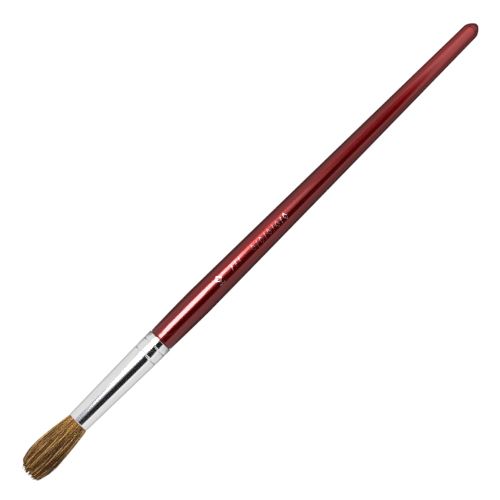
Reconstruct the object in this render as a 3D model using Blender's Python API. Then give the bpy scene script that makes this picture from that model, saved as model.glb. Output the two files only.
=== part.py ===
"""Round artist's paint brush: turned handle, crimped ferrule, bound and glued hair tuft.

The brush lies along X.  The hair points to -X and the handle's end to +X.  The origin is
below the middle of the brush, on the plane its widest point (the hair's belly) rests on.

Every station is a distance from the tip of the hair, measured along the brush.
The hair outside the ferrule is cut into four segments that turn on each other like balls
in sockets, so that it can bend: the heel and the third segment lift about Y, the second
and the tip segment swing about Z.
"""

import math

import bpy

MM = 0.001

# ------------------------------------------------------------------ shared dimensions
TOTAL_LENGTH = 240.0 * MM
MID = TOTAL_LENGTH / 2
GAP = 0.3 * MM                      # clearance between neighbouring pieces
MOUTH = 27.6 * MM                   # open end of the ferrule, where the hair comes out
FERRULE_END = 71.4 * MM             # ferrule's handle end
SHOULDER = FERRULE_END + GAP        # step on the handle that faces the ferrule's end

BELLY = 10.0 * MM                   # station of the widest point of the tuft
BELLY_R = 6.13 * MM
AXIS_Z = BELLY_R                    # the belly touches Z = 0

ROUND_STEPS = 40                    # facets round the handle and the ferrule
HAIR_STEPS = 32                     # facets round the hair and the adhesive


# ------------------------------------------------------------------ building helpers
def clear_scene():
    for obj in list(bpy.data.objects):
        bpy.data.objects.remove(obj, do_unlink=True)


def material(name, colour, roughness, metallic=0.0, coat=0.0):
    mat = bpy.data.materials.new(name)
    mat.use_nodes = True
    inputs = mat.node_tree.nodes["Principled BSDF"].inputs
    inputs["Base Color"].default_value = (*colour, 1.0)
    inputs["Roughness"].default_value = roughness
    inputs["Metallic"].default_value = metallic
    inputs["Coat Weight"].default_value = coat
    return mat


def place(name, data, origin, mat, parent):
    """Local Z runs along the brush towards the handle's end; local X points down."""
    data.materials.append(mat)
    obj = bpy.data.objects.new(name, data)
    bpy.context.scene.collection.objects.link(obj)
    obj.parent = parent
    obj.rotation_euler = (0.0, math.pi / 2, 0.0)
    obj.location = (origin - MID, 0.0, 0.0)
    return obj


def turned(name, profile, origin, mat, parent, steps, closed=False):
    """A solid of revolution about the brush's axis.

    The profile is a list of (radius, station).  An open one starts and ends on the axis;
    a closed one is a ring's whole section.
    """
    verts = [(radius, 0.0, station - origin) for radius, station in profile]
    edges = [(i, i + 1) for i in range(len(verts) - 1)]
    if closed:
        edges.append((len(verts) - 1, 0))
    mesh = bpy.data.meshes.new(name)
    mesh.from_pydata(verts, edges, [])
    obj = place(name, mesh, origin, mat, parent)
    screw = obj.modifiers.new("turn", "SCREW")
    screw.axis = "Z"
    screw.angle = 2 * math.pi
    screw.steps = screw.render_steps = steps
    screw.use_merge_vertices = True
    screw.merge_threshold = 0.01 * MM
    screw.use_smooth_shade = True


def spaced(start, end, count):
    """count + 1 evenly spaced stations from start to end, both included."""
    return [start + (end - start) * i / count for i in range(count + 1)]


def outline(radius_at, marks):
    """Profile points of the radius function at the given stations."""
    return [(radius_at(station), station) for station in marks]


# ------------------------------------------------------------------ ferrule
FERRULE_R_MOUTH = 4.48 * MM
FERRULE_R_BACK = 5.26 * MM
FERRULE_WALL = 0.35 * MM
RIM_CHAMFER = 0.10 * MM
CONE_END = 63.7 * MM                # cylindrical from here to the handle

# rolled grooves, from the handle side: (station, half width, depth)
CRIMPS = (
    (68.4 * MM, 0.45 * MM, 0.08 * MM),
    (CONE_END, 0.60 * MM, 0.12 * MM),
)
CRIMP_DIVISIONS = 4


def crimp_depth(station, centre, half_width, depth):
    """Depth of a groove at the station: a rounded valley, zero outside its width."""
    offset = abs(station - centre) / half_width
    return depth * 0.5 * (1 + math.cos(math.pi * offset)) if offset < 1 else 0.0


def crimp_stations():
    """Stations across both grooves, from the handle side."""
    return [
        station
        for centre, half_width, _ in CRIMPS
        for station in spaced(centre + half_width, centre - half_width, CRIMP_DIVISIONS)
    ]


def ferrule_outer(station):
    along = min(1.0, (station - MOUTH) / (CONE_END - MOUTH))
    radius = FERRULE_R_MOUTH + (FERRULE_R_BACK - FERRULE_R_MOUTH) * along
    return radius - sum(crimp_depth(station, *crimp) for crimp in CRIMPS)


def ferrule_inner(station):
    return ferrule_outer(station) - FERRULE_WALL


def bore_fit(station):
    """Radius of a piece that fits inside the ferrule with the usual clearance."""
    return ferrule_inner(station) - GAP


def make_ferrule(mat, parent):
    grooves = crimp_stations()
    profile = [(ferrule_outer(FERRULE_END) - RIM_CHAMFER, FERRULE_END)]
    profile += outline(
        ferrule_outer, [FERRULE_END - RIM_CHAMFER, *grooves, MOUTH + RIM_CHAMFER]
    )
    profile.append((ferrule_outer(MOUTH) - RIM_CHAMFER, MOUTH))
    profile += outline(ferrule_inner, [MOUTH, *reversed(grooves), FERRULE_END])
    turned("ferrule", profile, FERRULE_END, mat, parent, ROUND_STEPS, closed=True)


# ------------------------------------------------------------------ handle
SHOULDER_R = 5.05 * MM              # a little under the ferrule, which stands proud of it
SHOULDER_ROUND = 0.25 * MM
SHOULDER_ROUND_MID = 0.3            # middle point of the rounding, as a share of its size
HANDLE_MAX = 93.0 * MM              # station of the thickest point
HANDLE_R_MAX = 5.42 * MM
SWELL_DIVISIONS = 5
TAPER_BULGE = 0.05 * MM             # how far the long taper stands proud of a straight line
BULGE_ONSET = 1 / 8                 # share of the taper over which the bulge eases in
TAPER_DIVISIONS = 10
END_START = 236.4 * MM              # where the rounded end begins
END_R = 3.13 * MM                   # radius there
END_LENGTH = 3.85 * MM              # of the rounded end, if it ran on to a point
END_POWER, END_ROOT = 1.55, 1.4     # roundness of that end
END_DIVISIONS = 6                   # of the quarter turn that spaces its stations
END_FLAT_R = 0.60 * MM              # flat on the very end
TENON_NOSE = 47.0 * MM              # hair-side end of the tenon in the ferrule
TENON_CHAMFER = 0.8 * MM


def handle_radius(station):
    """A swell behind the shoulder, a slightly barrelled taper, a rounded end."""
    if station < HANDLE_MAX:
        along = (station - SHOULDER) / (HANDLE_MAX - SHOULDER)
        return SHOULDER_R + (HANDLE_R_MAX - SHOULDER_R) * math.sin(along * math.pi / 2)
    if station > END_START:
        along = (station - END_START) / END_LENGTH
        return END_R * (1 - along ** END_POWER) ** (1 / END_ROOT)
    along = (station - HANDLE_MAX) / (END_START - HANDLE_MAX)
    straight = HANDLE_R_MAX + (END_R - HANDLE_R_MAX) * along
    onset = min(1.0, along / BULGE_ONSET)
    ease = onset * onset * (3 - 2 * onset)
    return straight + TAPER_BULGE * 4 * along * (1 - along) * ease


def make_handle(mat, parent):
    end_stations = [
        END_START + (TOTAL_LENGTH - END_START) * math.sin(k / END_DIVISIONS * math.pi / 2)
        for k in range(END_DIVISIONS - 1, 0, -1)
    ]
    taper = spaced(END_START, HANDLE_MAX, TAPER_DIVISIONS)
    swell = spaced(HANDLE_MAX, SHOULDER + SHOULDER_ROUND, SWELL_DIVISIONS)[1:]
    profile = [(0.0, TOTAL_LENGTH), (END_FLAT_R, TOTAL_LENGTH)]
    profile += outline(handle_radius, end_stations + taper + swell)
    round_mid = SHOULDER_ROUND * SHOULDER_ROUND_MID
    profile.append((SHOULDER_R - round_mid, SHOULDER + round_mid))
    profile.append((SHOULDER_R - SHOULDER_ROUND, SHOULDER))
    # tenon: follows the inside of the ferrule, crimps included
    profile += outline(bore_fit, [SHOULDER, *crimp_stations(), TENON_NOSE + TENON_CHAMFER])
    profile.append((bore_fit(TENON_NOSE) - TENON_CHAMFER, TENON_NOSE))
    profile.append((0.0, TENON_NOSE))
    turned("handle", profile, SHOULDER, mat, parent, ROUND_STEPS)


# ------------------------------------------------------------------ hair outline and joints
HAIR_R_MOUTH = 4.39 * MM
HEEL_POWER = 1.55                   # how the tuft swells from the mouth to the belly
DOME_POWER, DOME_ROOT = 3.0, 1.8    # roundness of the blunt tip

BEND_STATIONS = (26.0 * MM, 20.4 * MM, 14.8 * MM, 9.4 * MM)    # centres of the balls
BALL_OFFSET = 2.0 * MM              # from a ball's centre to where it meets the outside
ARC_DIVISIONS = 6
LIP_ITERATIONS = 30                 # enough for the meeting station to settle


def hair_radius(station):
    """Outside of the tuft, from the blunt tip to the mouth."""
    if station >= BELLY:
        along = (station - BELLY) / (MOUTH - BELLY)
        return BELLY_R - (BELLY_R - HAIR_R_MOUTH) * along ** HEEL_POWER
    along = (BELLY - station) / BELLY
    return BELLY_R * (1 - along ** DOME_POWER) ** (1 / DOME_ROOT)


def ball_seam(joint):
    """Station where the joint's ball meets the outside of the tuft."""
    return BEND_STATIONS[joint] - BALL_OFFSET


def ball_arc(joint, clearance=0.0):
    """Profile of a joint's ball, from the outside of the tuft to the axis.

    With clearance it is the profile of the socket over the ball.
    """
    centre = BEND_STATIONS[joint]
    lip = ball_seam(joint)
    radius = math.hypot(BALL_OFFSET, hair_radius(lip)) + clearance
    for _ in range(LIP_ITERATIONS):           # where the sphere meets the tuft's outside
        lip = centre - math.sqrt(radius ** 2 - hair_radius(lip) ** 2)
    lip_angle = math.atan2(hair_radius(lip), centre - lip)
    angles = [lip_angle * (1 - k / ARC_DIVISIONS) for k in range(ARC_DIVISIONS + 1)]
    return [(radius * math.sin(a), centre - radius * math.cos(a)) for a in angles]


# ------------------------------------------------------------------ hair root
BUTT = 43.0 * MM                    # cut ends of the hairs, inside the ferrule
BUTT_R = 3.10 * MM
BUTT_FLARE = 1.2 * MM               # length of the cone from the waist to the butt
WAIST_R = 2.70 * MM                 # root squeezed by the thread
WAIST_FROM, WAIST_TO = 36.6 * MM, 39.9 * MM
ROOT_FLARE = 3.0 * MM               # length of the cone from the waist towards the mouth
ROOT_FLARE_FILL = 0.95              # radius at its end, as a share of the fit at the mouth


def make_hair_root(mat, parent):
    """The hairs inside the ferrule, flaring out of its mouth into the first ball."""
    mouth_fit = bore_fit(MOUTH)
    profile = [
        (0.0, BUTT),
        (BUTT_R, BUTT),
        (BUTT_R, WAIST_TO + BUTT_FLARE),
        (WAIST_R, WAIST_TO),
        (WAIST_R, WAIST_FROM),
        (mouth_fit * ROOT_FLARE_FILL, WAIST_FROM - ROOT_FLARE),
        # out through the mouth and up to the tuft's outside
        (mouth_fit, MOUTH + 0.3 * MM),
        (mouth_fit + 0.03 * MM, MOUTH - 0.3 * MM),
        (HAIR_R_MOUTH - 0.02 * MM, MOUTH - 0.75 * MM),
    ]
    profile += outline(hair_radius, spaced(MOUTH - 1.5 * MM, ball_seam(0), 2)[:-1])
    profile += ball_arc(0)
    turned("hair_root", profile, BUTT, mat, parent, HAIR_STEPS)


# ------------------------------------------------------------------ tuft segments
SIDE_DIVISIONS = 3
TIP_SIDE_DIVISIONS = 5
TIP_SIDE_END = 1.2 * MM             # evenly spaced stations stop here
TIP_STATIONS = (0.5 * MM, 0.15 * MM, 0.03 * MM)    # closer ones over the blunt tip

# from the mouth to the tip, one on each ball: (object, material, colour)
TUFT_SEGMENTS = (
    ("tuft_heel", "hair_heel_brown", (0.27, 0.14, 0.055)),
    ("tuft_lower_belly", "hair_lower_brown", (0.23, 0.13, 0.055)),
    ("tuft_upper_belly", "hair_upper_brown", (0.20, 0.11, 0.05)),
    ("tuft_tip", "hair_tip_brown", (0.16, 0.085, 0.04)),
)


def make_segment(name, joint, mat, parent):
    """A socket over the joint's ball, then the next joint's ball or the blunt tip."""
    profile = ball_arc(joint, clearance=GAP)[::-1]
    lip = profile[-1][1]
    following = joint + 1
    if following < len(BEND_STATIONS):
        side = spaced(lip, ball_seam(following), SIDE_DIVISIONS)[1:-1]
        profile += outline(hair_radius, side) + ball_arc(following)
    else:
        side = spaced(lip, TIP_SIDE_END, TIP_SIDE_DIVISIONS)[1:]
        profile += outline(hair_radius, [*side, *TIP_STATIONS]) + [(0.0, 0.0)]
    turned(name, profile, BEND_STATIONS[joint], mat, parent, HAIR_STEPS)


# ------------------------------------------------------------------ adhesive
GLUE_FROM, GLUE_TO = 40.6 * MM, 46.0 * MM
MENISCUS_DEPTH = 0.5 * MM           # at the axis
MENISCUS_MID_DEPTH = 0.4 * MM
MENISCUS_MID = 0.6                  # where that depth is, as a share of the radius
GLUE_LIP = 0.3 * MM                 # slope of the hair-side face, along the brush


def make_adhesive(mat, parent):
    """Cup of glue over the butt of the hair, sunken on its handle side."""
    glue_r = bore_fit(GLUE_TO)
    recess_r = BUTT_R + GAP
    recess_floor = BUTT + GAP
    profile = [
        (0.0, GLUE_TO - MENISCUS_DEPTH),
        (glue_r * MENISCUS_MID, GLUE_TO - MENISCUS_MID_DEPTH),
        (glue_r, GLUE_TO),
        (bore_fit(GLUE_FROM), GLUE_FROM),
        (recess_r, GLUE_FROM + GLUE_LIP),
        (recess_r, recess_floor),
        (0.0, recess_floor),
    ]
    turned("root_adhesive", profile, GLUE_TO, mat, parent, HAIR_STEPS)


# ------------------------------------------------------------------ binding thread
THREAD_R = 0.20 * MM
THREAD_TURNS = 4
THREAD_PITCH = 0.55 * MM
THREAD_FROM = 37.1 * MM
POINTS_PER_TURN = 16


def make_thread(mat, parent):
    """Waxed thread wound round the waist of the hair root."""
    name = "root_binding_thread"
    winding_r = WAIST_R + GAP + THREAD_R
    curve = bpy.data.curves.new(name, "CURVE")
    curve.dimensions = "3D"
    curve.bevel_depth = THREAD_R
    curve.bevel_resolution = 1
    curve.use_fill_caps = True
    spline = curve.splines.new("POLY")
    spline.points.add(THREAD_TURNS * POINTS_PER_TURN)    # the spline starts with one
    for i, point in enumerate(spline.points):
        turns = i / POINTS_PER_TURN
        angle = 2 * math.pi * turns
        x = winding_r * math.cos(angle)
        y = winding_r * math.sin(angle)
        point.co = (x, y, THREAD_PITCH * turns, 1.0)
    spline.use_smooth = True
    place(name, curve, THREAD_FROM, mat, parent)


# ------------------------------------------------------------------ assembly
def main():
    clear_scene()
    axis = bpy.data.objects.new("brush_axis", None)
    axis.location = (0.0, 0.0, AXIS_Z)
    bpy.context.scene.collection.objects.link(axis)

    lacquer = material(
        "crimson_lacquer", colour=(0.22, 0.012, 0.014), roughness=0.18, metallic=0.35, coat=1.0
    )
    nickel = material(
        "polished_nickel", colour=(0.80, 0.79, 0.77), roughness=0.14, metallic=1.0
    )
    glue = material("amber_glue", colour=(0.35, 0.19, 0.06), roughness=0.3)
    thread = material("waxed_thread", colour=(0.62, 0.56, 0.44), roughness=0.7)
    root_hair = material("hair_root_brown", colour=(0.20, 0.10, 0.04), roughness=0.6)

    make_handle(lacquer, axis)
    make_ferrule(nickel, axis)
    make_adhesive(glue, axis)
    make_thread(thread, axis)
    make_hair_root(root_hair, axis)
    for joint, (name, hair_name, colour) in enumerate(TUFT_SEGMENTS):
        hair = material(hair_name, colour=colour, roughness=0.55)
        make_segment(name, joint, hair, axis)
    bpy.context.view_layer.update()


main()
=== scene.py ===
"""Round paint brush: crimson lacquered handle, nickel ferrule and a bundle of natural hair.

The brush lies along x, hair towards low x and the handle's end at high x, with z up. Pieces are
laid out by station, the distance in mm from the tip of the hair, and by radius in mm about the
brush's axis. The placing functions turn these into metres.
"""
import math

import bpy
import numpy as np
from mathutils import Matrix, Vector


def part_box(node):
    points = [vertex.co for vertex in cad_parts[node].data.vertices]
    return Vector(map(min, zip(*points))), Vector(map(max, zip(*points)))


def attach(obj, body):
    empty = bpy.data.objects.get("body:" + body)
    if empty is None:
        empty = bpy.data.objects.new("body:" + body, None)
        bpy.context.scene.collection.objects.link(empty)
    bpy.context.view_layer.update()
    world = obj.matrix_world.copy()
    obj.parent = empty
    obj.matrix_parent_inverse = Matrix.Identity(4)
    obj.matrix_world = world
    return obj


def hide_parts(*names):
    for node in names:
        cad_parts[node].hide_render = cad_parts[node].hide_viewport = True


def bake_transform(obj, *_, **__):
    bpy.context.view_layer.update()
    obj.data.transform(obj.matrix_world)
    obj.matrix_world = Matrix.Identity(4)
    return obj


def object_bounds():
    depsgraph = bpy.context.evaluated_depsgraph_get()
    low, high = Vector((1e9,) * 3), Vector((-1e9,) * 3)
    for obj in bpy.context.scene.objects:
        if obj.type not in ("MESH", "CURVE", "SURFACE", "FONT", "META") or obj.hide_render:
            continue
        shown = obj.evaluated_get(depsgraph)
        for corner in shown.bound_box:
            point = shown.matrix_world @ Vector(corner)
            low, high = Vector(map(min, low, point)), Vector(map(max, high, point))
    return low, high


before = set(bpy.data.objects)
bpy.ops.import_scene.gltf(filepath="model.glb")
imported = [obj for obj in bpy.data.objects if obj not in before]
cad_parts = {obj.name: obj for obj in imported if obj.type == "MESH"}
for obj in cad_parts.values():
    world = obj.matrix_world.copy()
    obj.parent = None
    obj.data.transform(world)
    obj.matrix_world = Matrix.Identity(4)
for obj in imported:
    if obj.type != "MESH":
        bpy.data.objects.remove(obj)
cad_lo, cad_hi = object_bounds()
MM = 0.001

# ------------------------------------------------------------------ driving sizes
handle_lo, handle_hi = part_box("handle")
ferrule_lo, ferrule_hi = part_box("ferrule")
tip_lo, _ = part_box("tuft_tip")

TIP_X = tip_lo.x                                     # world x of station 0, in metres
AXIS_Z = (handle_lo.z + handle_hi.z) / 2             # world z of the axis, in metres

# ferrule
MOUTH = (ferrule_lo.x - TIP_X) / MM                  # station of its open end, towards the hair
FERRULE_END = (ferrule_hi.x - TIP_X) / MM            # station of its end on the handle
MOUTH_R = 4.48
BACK_R = (ferrule_hi.z - ferrule_lo.z) / 2 / MM
WALL = 0.35
CRIMPS = ((63.7, 0.60, 0.12), (68.4, 0.45, 0.08))    # station, half width, depth

# handle
LENGTH = (handle_hi.x - TIP_X) / MM
NOSE = (handle_lo.x - TIP_X) / MM                    # station of the tenon's end
SHOULDER = FERRULE_END + 0.3
SHOULDER_R = 5.05
WIDEST = 93.0
WIDEST_R = (handle_hi.z - handle_lo.z) / 2 / MM
ROUND_START = 236.4                                  # where the rounded end starts
ROUND_R = 3.13
ROUND_REACH = 3.85                                   # length over which its curve would close
ROUND_LENGTH = 3.55                                  # length of it that is used
FLAT_R = 0.60                                        # small flat at the very end
BULGE = 0.05                                         # of the long taper over a straight one

# hair
BELLY = 10.0                                         # station where the bundle is thickest
BELLY_R = (cad_hi.z - cad_lo.z) / 2 / MM
HAIR_MOUTH_R = 4.39

TONE_COLUMNS = 64                                    # steps of hair tone across the UV map
UV_LENGTH = 32.0                                     # mm of hair along the UV map


def world_x(station):
    return TIP_X + station * MM


def axis_point(station):
    return (world_x(station), 0.0, AXIS_Z)


def ring_point(station, radius, angle):
    """World place at an angle about the axis, counted from +y towards +z."""
    return (world_x(station), radius * MM * math.cos(angle),
            AXIS_Z + radius * MM * math.sin(angle))


def smoothstep(share):
    share = np.clip(share, 0.0, 1.0)
    return share * share * (3 - 2 * share)


def ferrule_radius(station):
    """Outside of the ferrule: a cone up to the first crimp, then a tube, less the crimps."""
    share = min(1.0, max(0.0, (station - MOUTH) / (CRIMPS[0][0] - MOUTH)))
    radius = MOUTH_R + (BACK_R - MOUTH_R) * share
    for centre, half, depth in CRIMPS:
        off = abs(station - centre) / half
        if off < 1:
            radius -= depth * 0.5 * (1 + math.cos(math.pi * off))
    return radius


def tenon_radius(station):
    """The part of the handle inside the ferrule, with a small clearance."""
    return ferrule_radius(min(station, FERRULE_END)) - WALL - 0.3


def handle_radius(station):
    if station < WIDEST:
        share = (station - SHOULDER) / (WIDEST - SHOULDER)
        return SHOULDER_R + (WIDEST_R - SHOULDER_R) * math.sin(share * math.pi / 2)
    if station > ROUND_START:
        closing = ((station - ROUND_START) / ROUND_REACH) ** 1.55
        return ROUND_R * max(0.0, 1 - closing) ** (1 / 1.4)
    share = (station - WIDEST) / (ROUND_START - WIDEST)
    straight = WIDEST_R + (ROUND_R - WIDEST_R) * share
    return straight + BULGE * 4 * share * (1 - share) * float(smoothstep(share * 8))


def bundle_radius(station):
    """Outer radius that the hairs follow, for an array of stations."""
    station = np.asarray(station, float)
    behind = np.clip((station - BELLY) / (MOUTH - BELLY), 0, 1)
    swell = BELLY_R - (BELLY_R - HAIR_MOUTH_R) * behind ** 1.55
    ahead = np.clip((BELLY - station) / BELLY, 0, 1)
    closing = BELLY_R * (1 - 0.36 * ahead ** 2.2)
    radius = np.where(station >= BELLY, swell, closing)
    radius = radius * (1 + 0.008 * np.exp(-((station - 14.0) / 6.0) ** 2))
    squeeze = smoothstep((station - 27.22) / 0.72)   # pressed into the mouth
    inner = MOUTH_R - WALL - 0.13
    return radius * (1 - squeeze) + inner * squeeze


# ------------------------------------------------------------------ mesh helpers
def link_object(name, mesh):
    obj = bpy.data.objects.new(name, mesh)
    bpy.context.scene.collection.objects.link(obj)
    return obj


def signed_volume(verts, polys):
    volume = 0.0
    for faces in polys:
        for k in range(1, faces.shape[1] - 1):
            first, second, third = verts[faces[:, 0]], verts[faces[:, k]], verts[faces[:, k + 1]]
            volume += float(np.einsum("ij,ij->i", first, np.cross(second, third)).sum())
    return volume


def mesh_from_arrays(name, verts, polys, uvs=None, normals=None):
    """Smooth mesh whose faces are turned outwards.

    polys is a list of integer arrays, one of quads and perhaps one of triangles; uvs has an
    array of face corners for each of them.
    """
    if signed_volume(verts, polys) < 0:
        polys = [faces[:, ::-1] for faces in polys]
        uvs = None if uvs is None else [corners[:, ::-1] for corners in uvs]
    loops = np.concatenate([faces.ravel() for faces in polys]).astype(np.int32)
    totals = np.concatenate([np.full(len(faces), faces.shape[1]) for faces in polys])
    starts = np.concatenate([[0], np.cumsum(totals)[:-1]]).astype(np.int32)
    mesh = bpy.data.meshes.new(name)
    mesh.vertices.add(len(verts))
    mesh.vertices.foreach_set("co", verts.astype(np.float32).ravel())
    mesh.loops.add(len(loops))
    mesh.loops.foreach_set("vertex_index", loops)
    mesh.polygons.add(len(starts))
    mesh.polygons.foreach_set("loop_start", starts)
    mesh.update(calc_edges=True)
    if uvs is not None:
        flat = np.concatenate([corners.reshape(-1, 2) for corners in uvs])
        layer = mesh.uv_layers.new(name="OFBake")
        layer.data.foreach_set("uv", flat.astype(np.float32).ravel())
    mesh.shade_smooth()
    if normals is not None:
        mesh.normals_split_custom_set_from_vertices(normals)
    return link_object(name, mesh)


def mesh_from_parts(name, parts):
    """Joins parts, each given as (vertices, normals, uvs, quads, triangles)."""
    quads, tris, offset = [], [], 0
    for verts, _, _, part_quads, part_tris in parts:
        quads.append(part_quads + offset)
        tris.append(part_tris + offset)
        offset += len(verts)
    verts, normals, uvs = (np.concatenate([part[k] for part in parts]) for k in range(3))
    polys = [np.concatenate(quads), np.concatenate(tris)]
    return mesh_from_arrays(name, verts, polys, [uvs[faces] for faces in polys], normals)


def lathe(name, profile, steps, sharp, closed=False, wobble=None):
    """Turns (station, radius) points about the axis; radius 0 makes a pole.

    sharp is the angle in degrees above which edges are sharp, closed joins the profile's ends,
    and wobble(station, radius, angle) gives a radius that changes around the ring.
    """
    profile = list(profile) + ([profile[0]] if closed else [])
    length = [0.0]
    for (station0, radius0), (station1, radius1) in zip(profile, profile[1:]):
        length.append(length[-1] + math.hypot(station1 - station0, radius1 - radius0))
    heights = [part / length[-1] for part in length]

    verts, rows = [], []
    for i, (station, radius) in enumerate(profile):
        if closed and i == len(profile) - 1:
            rows.append(rows[0])
        elif radius <= 1e-9:
            rows.append([len(verts)] * steps)
            verts.append(axis_point(station))
        else:
            rows.append(list(range(len(verts), len(verts) + steps)))
            for angle in np.arange(steps) * 2 * math.pi / steps:
                local = radius if wobble is None else wobble(station, radius, angle)
                verts.append(ring_point(station, local, angle))

    quads, quad_uvs, tris, tri_uvs = [], [], [], []
    for i, (near, far) in enumerate(zip(rows, rows[1:])):
        low, high = heights[i], heights[i + 1]
        for k in range(steps):
            n = (k + 1) % steps
            left, right = k / steps, (k + 1) / steps
            middle = (left + right) / 2
            if near[k] == near[n]:
                tris.append((near[k], far[n], far[k]))
                tri_uvs.append(((middle, low), (right, high), (left, high)))
            elif far[k] == far[n]:
                tris.append((near[k], near[n], far[k]))
                tri_uvs.append(((left, low), (right, low), (middle, high)))
            else:
                quads.append((near[k], near[n], far[n], far[k]))
                quad_uvs.append(((left, low), (right, low), (right, high), (left, high)))
    polys, uvs = [np.array(quads)], [np.array(quad_uvs, float)]
    if tris:
        polys.append(np.array(tris))
        uvs.append(np.array(tri_uvs, float))
    obj = mesh_from_arrays(name, np.array(verts, float), polys, uvs)
    obj.data.set_sharp_from_angle(angle=math.radians(sharp))
    return obj


def arc(station, radius, size, start, end, steps):
    """Profile points of a round about (station, radius); degrees from +station to +radius."""
    angles = [math.radians(start + (end - start) * i / steps) for i in range(steps + 1)]
    return [(station + size * math.cos(angle), radius + size * math.sin(angle))
            for angle in angles]


def trace(radius_at, stations):
    return [(station, radius_at(station)) for station in stations]


def going_down(start, limit, step):
    """Stations from start, a step lower each time, while they stay above the limit."""
    while start > limit:
        yield start
        start -= step


# ------------------------------------------------------------------ shader helper
class Shader:
    """A material with short calls that add nodes; sockets or plain values may go in."""

    def __init__(self, name):
        self.material = bpy.data.materials.new(name)
        self.material.use_nodes = True
        self.nodes = self.material.node_tree.nodes

    def put(self, socket, value):
        if isinstance(value, bpy.types.NodeSocket):
            self.material.node_tree.links.new(value, socket)
        else:
            socket.default_value = (*value, 1.0) if socket.type == "RGBA" else value

    def node(self, kind, inputs=None, **settings):
        """Adds a node and returns its outputs; inputs are keyed by name or number."""
        new = self.nodes.new("ShaderNode" + kind)
        for key, value in settings.items():
            setattr(new, key, value)
        for key, value in (inputs or {}).items():
            self.put(new.inputs[key], value)
        return new.outputs

    def surface(self, inputs):
        for key, value in inputs.items():
            self.put(self.nodes["Principled BSDF"].inputs[key], value)

    def math(self, operation, first, second=None, clamp=False):
        inputs = {0: first} if second is None else {0: first, 1: second}
        return self.node("Math", inputs, operation=operation, use_clamp=clamp)[0]

    def linear(self, value, gain, offset):
        return self.math("ADD", self.math("MULTIPLY", value, gain), offset)

    def share(self, value, start, length):
        """0 at start, 1 a length further on."""
        return self.math("DIVIDE", self.math("SUBTRACT", value, start), length, clamp=True)

    def fade(self, value, start, end, low=0.0, high=1.0):
        """Runs smoothly from low at start to high at end."""
        inputs = {"Value": value, "From Min": start, "From Max": end,
                  "To Min": low, "To Max": high}
        return self.node("MapRange", inputs, interpolation_type="SMOOTHSTEP")[0]

    def ramp(self, value, stops):
        """stops are (position, colour), or (position, grey level)."""
        new = self.nodes.new("ShaderNodeValToRGB")
        elements = new.color_ramp.elements
        while len(elements) < len(stops):
            elements.new(0.5)
        for element, (position, colour) in zip(elements, stops):
            element.position = position
            element.color = (*(colour if isinstance(colour, tuple) else (colour,) * 3), 1.0)
        self.put(new.inputs[0], value)
        return new.outputs[0]

    def mix(self, blend, first, second, factor=1.0):
        inputs = {0: factor, 6: first, 7: second}
        return self.node("Mix", inputs, data_type="RGBA", blend_type=blend)[2]

    def position(self):
        """Object coordinates, which are the world's for the brush at rest."""
        return self.node("TexCoord")["Object"]

    def split(self, vector):
        return self.node("SeparateXYZ", {0: vector})

    def scaled(self, vector, scale):
        return self.node("Mapping", {"Scale": scale, 0: vector})[0]

    def noise(self, vector, scale, detail, roughness):
        """scale is per metre; three numbers stretch the noise along x, y and z."""
        if isinstance(scale, tuple):
            vector, scale = self.scaled(vector, scale), 1.0
        inputs = {"Scale": scale, "Detail": detail, "Roughness": roughness, "Vector": vector}
        return self.node("TexNoise", inputs)["Fac"]

    def bump(self, height, distance, strength):
        inputs = {"Distance": distance, "Strength": strength, "Height": height}
        return self.node("Bump", inputs)[0]


# ------------------------------------------------------------------ handle
def lacquer_material():
    shader = Shader("crimson_lacquer")
    pos = shader.position()
    x = shader.split(pos)[0]
    # long grain of the wood, faint under the tinted lacquer
    grain = shader.noise(pos, scale=(40.0, 900.0, 900.0), detail=4.0, roughness=0.55)
    fleck = shader.noise(pos, scale=(260.0, 3200.0, 3200.0), detail=2.0, roughness=0.5)
    colour = shader.ramp(grain, [(0.32, (0.125, 0.0012, 0.0016)),
                                 (0.50, (0.146, 0.0018, 0.0022)),
                                 (0.70, (0.170, 0.0032, 0.0030))])
    colour = shader.mix("MULTIPLY", colour, (0.62, 0.5, 0.5),
                        factor=shader.math("MULTIPLY", fleck, 0.14))
    # painted light: the thin end is made a lighter red, standing in for the brighter light that falls
    # on it
    painted_light_end = shader.fade(x, start=world_x(188), end=world_x(218))
    colour = shader.mix("MULTIPLY", colour, (1.50, 1.35, 1.35), factor=painted_light_end)
    # the dipped lacquer is very slightly wavy
    wave = shader.noise(pos, scale=(90.0, 240.0, 240.0), detail=1.5, roughness=0.4)
    shader.surface({
        "Base Color": colour,
        "Metallic": 0.80,
        "Specular IOR Level": 0.0,
        "Roughness": shader.linear(grain, gain=0.05, offset=0.21),
        "Specular Tint": (0.45, 0.10, 0.10),
        "Coat Weight": 0.92,
        "Coat Roughness": 0.035,
        "Coat IOR": 1.5,
        "Coat Normal": shader.bump(wave, distance=0.00004, strength=0.35),
    })
    return shader.material


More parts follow.
